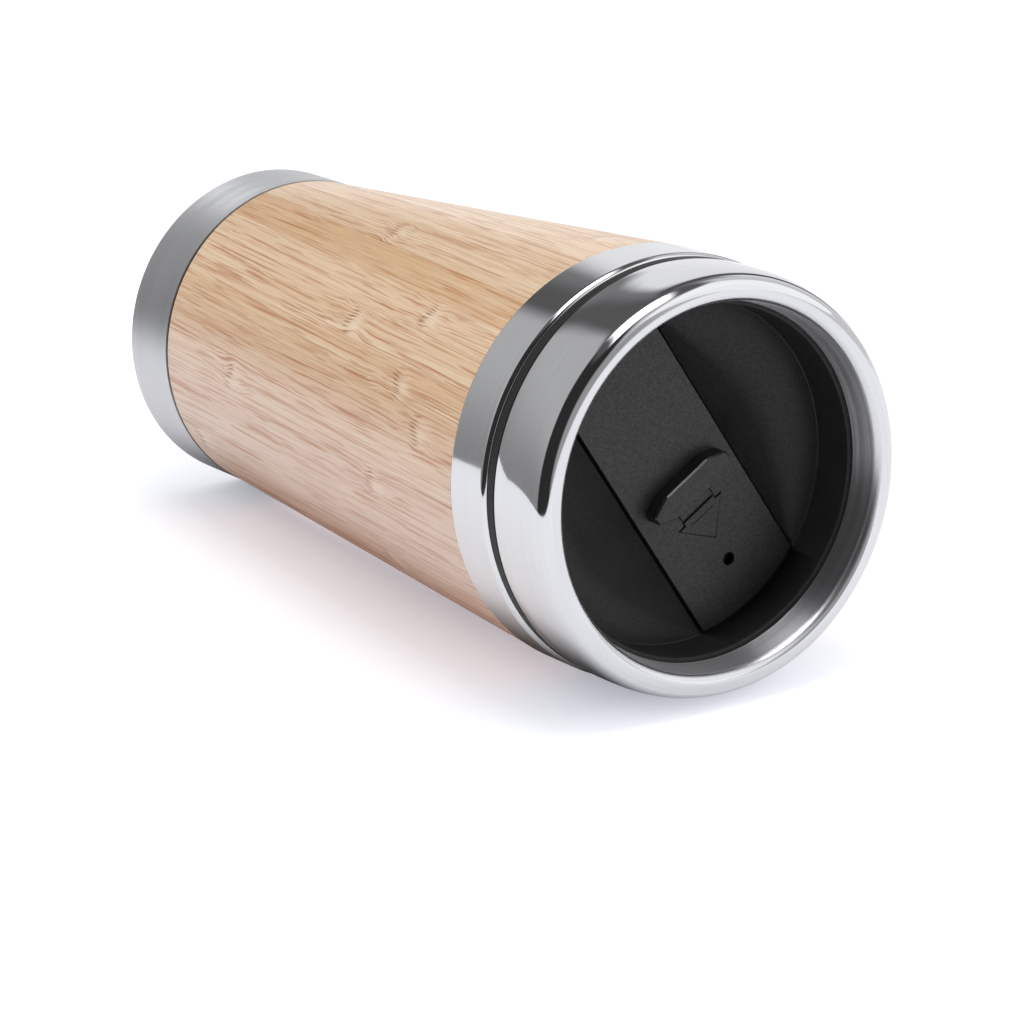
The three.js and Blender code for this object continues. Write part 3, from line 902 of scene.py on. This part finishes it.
def makeInsert(values):
    line = [
        (0, values["underside"]),
        (values["plugInside"], values["underside"], values["undersideRound"]),
        (values["plugInside"], -values["plugDepth"], values["plugInsideRound"]),
        (values["plugRadius"], -values["plugDepth"], values["plugRound"]),
        (values["plugRadius"], values["grooveLow"], values["grooveRound"]),
        (values["grooveRadius"], values["grooveLow"]),
        (values["grooveRadius"], values["grooveHigh"]),
        (values["plugRadius"], values["grooveHigh"], values["grooveRound"]),
        (values["plugRadius"], 0, values["plugTopRound"]),
        (values["bandRadius"], 0, values["bandRound"]),
        (values["bandRadius"], values["bandHigh"], values["bandRound"]),
        (values["footOutside"], values["bandHigh"]),
        (values["neckOutside"], values["lipLow"]),
        (values["lipOutside"], values["lipLow"]),
        (values["lipOutside"], values["lipHigh"]),
        (values["lipInside"], values["lipHigh"], values["lipRound"]),
        (values["floorRadius"], values["floor"], values["floorRound"]),
        (0, values["floor"]),
    ]
    line = [(corner[0], corner[1] + lidSeat, *corner[2:]) for corner in line]
    piece = turnPiece("lidTray", line, values["steps"], bevelSteps=4)
    low, top = values["channelLow"] + lidSeat, values["floor"] + lidSeat
    left, right, rounds = values["channelLeft"], values["channelRight"], values["toolSteps"]
    # The channel that the slider lies in
    over = top + values["channelOver"]
    channel = discPiece("channelTool", (0, 0), values["floorRadius"], low, over, rounds)
    trimSides(channel, left, right)
    carve(piece, channel)
    # The slot under the tray's wall and the pocket in the band that it leads to
    slotHigh = values["slotHigh"] + lidSeat
    slot = discPiece("slotTool", (0, 0), values["slotRadius"], top - past, slotHigh, rounds)
    trimSides(slot, left - values["slotInset"], right - values["slotInset"])
    trim(slot, (values["slotStart"], 0, 0), (1, 0, 0))
    carve(piece, slot)
    pocketLow, pocketHigh = values["pocketLow"] + lidSeat, values["pocketHigh"] + lidSeat
    middle = (-values["travel"], 0)
    pocket = discPiece("pocketTool", middle, values["floorRadius"], pocketLow, pocketHigh, rounds)
    trimSides(pocket, right, right - values["pocketInset"])
    trim(pocket, (values["pocketStart"], 0, 0), (1, 0, 0))
    carve(piece, pocket)
    # Sip slot, vent and the slot for the slider's stem
    under, cutTop = values["underside"] + lidSeat - past, low + past
    sip = (values["sipReach"], values["sipWidth"], values["sipLength"])
    carve(piece, crescentPiece("sipTool", *sip, under, cutTop, rounds))
    vent = (-values["ventReach"], 0)
    carve(piece, discPiece("ventTool", vent, values["ventRadius"], under, cutTop, values["ventSteps"]))
    stemHalf, stemSide = values["stemRun"] / 2, values["stemWidth"] / 2
    stemLow = (values["stemMiddle"] - stemHalf, -stemSide, under)
    stemHigh = (values["stemMiddle"] + stemHalf, stemSide, cutTop)
    carve(piece, boxPiece("stemTool", stemLow, stemHigh))

    # Soft edges along the channel
    def alongChannel(a, b):
        straight = abs(a.y - b.y) < same and abs(a.x - b.x) > values["edgeLength"]
        return atHeight(top)(a, b) and straight and abs(a.y) > values["edgeAside"]

    roundEdges(piece, alongChannel, values["edge"], 2)
    smooth(piece)
    settle(piece, "trayPlastic", "lid", "lid_insert")


makeInsert(insertSet)
print("lid insert made")


# Ribbed seal in the plug's groove
gasketSet = {
    "inside": 33.92, "outside": 35.37, "low": 144.3, "high": 146.7, "rib": 0.5, "valley": 0.4,
    "steps": 192,
}


def makeGasket(values):
    low, high, rib = values["low"], values["high"], values["rib"]
    outside, inside = values["outside"], values["inside"]
    valleyLow = (low + high - values["valley"]) / 2
    valleyHigh = valleyLow + values["valley"]
    line = [
        (inside, low),
        (outside, low, rib),
        (outside, valleyLow, rib),
        (outside - rib, valleyLow),
        (outside - rib, valleyHigh),
        (outside, valleyHigh, rib),
        (outside, high, rib),
        (inside, high),
        (inside, low),
    ]
    piece = turnPiece("plugSeal", line, values["steps"], bevelSteps=5)
    settle(piece, "sealRubber", "lid", "lid_gasket")


makeGasket(gasketSet)
print("plug seal made")


# Polished ring of the lid. Heights are from the lid's seat
rimSet = {
    "lowRadius": 40.5, "low": 2.45, "lowEdge": 0.15,
    "radius": 40.8, "widest": 7.0, "bellyArm": 2 / 3, "bellySteps": 10,
    "crownRadius": 37.0, "crown": 18.1, "shoulderArm": 0.8, "shoulderSteps": 28,
    "openRadius": 35.1, "edge": 16.0, "edgeArm": 0.5523, "edgeSteps": 14,
    "innerEnd": 11.45, "innerRadius": 34.4,
    "turnedRise": 1.0,   # the lathe lines end this far above the edge
    "dulledDrop": 0.1,   # and the dulled roll ends this far below the crown
    "dulledInset": 0.05,
    "wall": 0.5, "steps": 256,
}


def quarter(start, corner, end, arm, steps):
    # Points of a quarter turn inside a corner, after its start
    first = [s + (c - s) * arm for s, c in zip(start, corner)]
    second = [e + (c - e) * arm for e, c in zip(end, corner)]
    points = []
    for step in range(1, steps + 1):
        t = step / steps
        shares = ((1 - t) ** 3, 3 * t * (1 - t) ** 2, 3 * t * t * (1 - t), t ** 3)
        pulls = list(zip(shares, (start, first, second, end)))
        points.append(tuple(sum(share * point[axis] for share, point in pulls) for axis in (0, 1)))
    return points


def makeRim(values):
    start, belly = (values["lowRadius"], values["low"]), (values["radius"], values["widest"])
    crown = (values["crownRadius"], values["crown"])
    mouth = (values["openRadius"], values["edge"])
    foot = (values["innerRadius"], values["innerEnd"])
    bellyCorner = (belly[0], (start[1] + belly[1]) / 2)
    line = [start]
    line += quarter(start, bellyCorner, belly, values["bellyArm"], values["bellySteps"])
    line += quarter(belly, (belly[0], crown[1]), crown, values["shoulderArm"], values["shoulderSteps"])
    line += quarter(crown, (mouth[0], crown[1]), mouth, values["edgeArm"], values["edgeSteps"])
    line.append(((mouth[0] + foot[0]) / 2, (mouth[1] + foot[1]) / 2))
    line.append(foot)
    line = [(across, height + lidSeat) for across, height in line]
    piece = turnPiece("lidRing", line, values["steps"], values["wall"])
    lowest = start[1] + lidSeat + same
    roundEdges(piece, lambda a, b: max(a.z, b.z) < lowest, values["lowEdge"], 3)
    smooth(piece)
    settle(piece, "polishedSteel", "lid", "lid_rim")

    # The inner wall keeps its lathe lines, and the roll above it is dulled
    def insideBetween(low, high):
        def test(place, normal):
            facingIn = normal.xy.dot(place.xy) < 0 and place.xy.length < crown[0] - values["dulledInset"]
            return facingIn and low < place.z - lidSeat < high
        return test

    turnedEnd, dulledEnd = mouth[1] + values["turnedRise"], crown[1] - values["dulledDrop"]
    dressFaces(piece, "turnedSteel", insideBetween(0, turnedEnd))
    dressFaces(piece, "edgeSteel", insideBetween(turnedEnd, dulledEnd))


makeRim(rimSet)
print("lid ring made")


# Slider with its thumb tab, arrow and vent
sliderSet = {
    "top": 151.9, "radius": 33.1, "half": 12.25, "tongue": 1.15, "edge": 0.16, "toolSteps": 256,
    "deck": 2.0, "deckFront": -25.6, "deckInset": 0.03, "deckOver": 0.4,
    "tabReach": 3.3, "tabWidth": 5.2, "tabLength": 19.4, "tabStraight": 11.6, "tabTip": 1.8,
    "tabHeight": 3.5, "tabRoot": 0.6, "tabTipCorner": 0.45, "tabCorner": 0.7,
    "chamferRise": 0.32, "chamferRun": 0.26,
    "arrowHeight": 0.18, "arrowRoot": 0.5, "arrowEdge": 0.12, "arrowWidth": 8.0, "tailEnd": 9.2,
    "tailStart": 1.0, "slit": 0.6, "neck": 0.8, "neckOver": 0.5, "head": 6.3, "span": 11.2,
    "moat": 0.3, "headTip": 0.02, "headGrowth": 1.4,
    "markReach": 11.3, "markLength": 5.8, "markWidth": 0.25, "markDepth": 0.12,
    "ventReach": 22.8, "ventRadius": 1.25, "ventFlare": 0.12, "ventInset": 0.01, "ventSteps": 64,
    "stemLength": 3.0, "stemWidth": 6.0, "stemLow": 145.5, "stemOver": 1.0,
    "barbLow": 145.4, "barbHigh": 146.4, "barbWidth": 7.8, "barbInset": 0.02,
    "sealRadius": 32.6, "sealWidth": 5.7, "sealLength": 18.0, "sealHigh": 150.85,
    "cutDepth": 3.0,     # tools that cut through the slider start this far below its top
}


def makeTab(values):
    top = values["top"] + values["tabHeight"] - values["chamferRise"]
    low = values["top"] - values["tabRoot"]
    reach, half, straight = values["tabReach"], values["tabWidth"] / 2, values["tabStraight"] / 2
    ends = values["tabLength"] / 2
    tab = boxPiece("thumbTab", (-reach - half, -straight, low), (-reach + half, straight, top))
    startEdit(tab)
    for side in (1, -1):
        pickFaces(tab, lambda place, normal: normal.y * side > 0.9)
        step = (0, side * (ends - straight) * mm, 0)
        bpy.ops.mesh.extrude_region_move(TRANSFORM_OT_translate={"value": step})
        squeeze = values["tabTip"] / values["tabWidth"]
        bpy.ops.transform.resize(value=(squeeze, 1, 1), center_override=Vector((-reach, 0, top)) * mm)
    for height in (top, low):
        pickFaces(tab, lambda place, normal: abs(place.z - height) < same)
        bpy.ops.mesh.dissolve_faces()
    endEdit()

    def uprightAt(aside):
        return lambda a, b: abs(a.z - b.z) > (top - low) / 2 and abs(abs(a.y) - aside) < same

    roundEdges(tab, uprightAt(ends), values["tabTipCorner"], 6)
    roundEdges(tab, uprightAt(straight), values["tabCorner"], 4)
    startEdit(tab)
    pickFaces(tab, lambda place, normal: abs(place.z - top) < same)
    bpy.ops.mesh.inset(thickness=values["chamferRun"] * mm, depth=values["chamferRise"] * mm)
    endEdit()
    return tab


def makeArrow(values, margin, low, high):
    # Tail and head of the arrow, each grown by a margin
    wide, span = values["arrowWidth"] / 2 + margin, values["span"] / 2 + values["headGrowth"] * margin
    tailHigh = (-values["tabReach"] - values["tailStart"], wide, high)
    tail = boxPiece("arrowTail", (-values["tailEnd"] - margin, -wide, low), tailHigh)
    neckStart = values["tailEnd"] + values["slit"] - margin
    base = neckStart + values["neck"]
    point = base + values["head"] + 2 * margin
    head = boxPiece("arrowHead", (-point, -span, low), (-base, span, high))
    startEdit(head)
    pickFaces(head, lambda place, normal: normal.x < -0.9)
    squeeze = (1, values["headTip"], 1)
    bpy.ops.transform.resize(value=squeeze, center_override=Vector((-point, 0, low)) * mm)
    endEdit()
    neckLow = (-base - values["neckOver"], -wide, low)
    carve(head, boxPiece("arrowNeck", neckLow, (-neckStart, wide, high)), "UNION")
    return tail, head


def makeStem(values):
    # Stem and barb that hold the clip under the lid's floor
    reach, half, side = values["tabReach"], values["stemLength"] / 2, values["stemWidth"] / 2
    stemHigh = (-reach + half, side, values["top"] - values["stemOver"])
    stem = boxPiece("stemTool", (-reach - half, -side, values["stemLow"]), stemHigh)
    half, side = half - values["barbInset"], values["barbWidth"] / 2
    barbHigh = (-reach + half, side, values["barbHigh"])
    barb = boxPiece("barbTool", (-reach - half, -side, values["barbLow"]), barbHigh)
    carve(stem, barb, "UNION")
    return stem


def makeSlider(values):
    top, half, radius, rounds = values["top"], values["half"], values["radius"], values["toolSteps"]
    under = top - values["tongue"]
    piece = discPiece("sipSlider", (0, 0), radius, under, top, rounds)
    trimSides(piece, half, half)
    roundEdges(piece, atHeight(top), values["edge"], 3)
    inset, over = values["deckInset"], under + values["deckOver"]
    deck = discPiece("deckTool", (0, 0), radius - inset, top - values["deck"], over, rounds)
    trimSides(deck, half - inset, half - inset)
    trim(deck, (values["deckFront"], 0, 0), (-1, 0, 0))
    carve(piece, deck, "UNION")
    # Arrow in a shallow moat: tail, a slit, then neck and head
    raised = top + values["arrowHeight"]
    for tool in makeArrow(values, values["moat"], top - values["moat"], top + past):
        carve(piece, tool)
    carve(piece, makeTab(values), "UNION")
    for tool in makeArrow(values, 0.0, top - values["arrowRoot"], raised):
        roundEdges(tool, atHeight(raised), values["arrowEdge"], 2)
        carve(piece, tool, "UNION")
    reach, markHalf, markSide = values["markReach"], values["markWidth"] / 2, values["markLength"] / 2
    markLow = (-reach - markHalf, -markSide, raised - values["markDepth"])
    carve(piece, boxPiece("arrowMark", markLow, (-reach + markHalf, markSide, raised + past)))
    carve(piece, makeStem(values), "UNION")
    # Vent, and the recess for the seal pad
    vent, ventRadius, flare = (-values["ventReach"], 0), values["ventRadius"], values["ventFlare"]
    ventSteps, cutLow = values["ventSteps"], top - values["cutDepth"]
    carve(piece, discPiece("ventTool", vent, ventRadius, cutLow, top + past, ventSteps))
    narrow, wide = ventRadius - values["ventInset"], ventRadius + 2 * flare
    carve(piece, discPiece("ventFlare", vent, narrow, top - flare, top + flare, ventSteps, wide))
    seal = (values["sealRadius"], values["sealWidth"], values["sealLength"])
    carve(piece, crescentPiece("recessTool", *seal, cutLow, values["sealHigh"], rounds))
    smooth(piece)
    settle(piece, "sliderPlastic", "slider", "slider")
    # The tab's chamfer is worn smooth, and the vent's inside is painted near-black, painted shade in the
    # hole
    chamferLow = top + values["tabHeight"] - values["chamferRise"]
    middle, ventReach = Vector((*vent, 0)), ventRadius + 2 * same

    def onChamfer(place, normal):
        return place.z > chamferLow and 0.2 < normal.z < 0.95

    def inVent(place, normal):
        return (place - middle).xy.length < ventReach and normal.z < 0.2

    dressFaces(piece, "wornPlastic", onChamfer)
    dressFaces(piece, "ventShadePlastic", inVent)


makeSlider(sliderSet)
print("slider made")


# Hidden pad and clip keep their CAD shapes
for node, finish in (("slider_seal", "sealRubber"), ("slider_clip", "trayPlastic")):
    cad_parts[node].material_slots[0].material = finishes[finish]
print("seal pad and clip dressed")
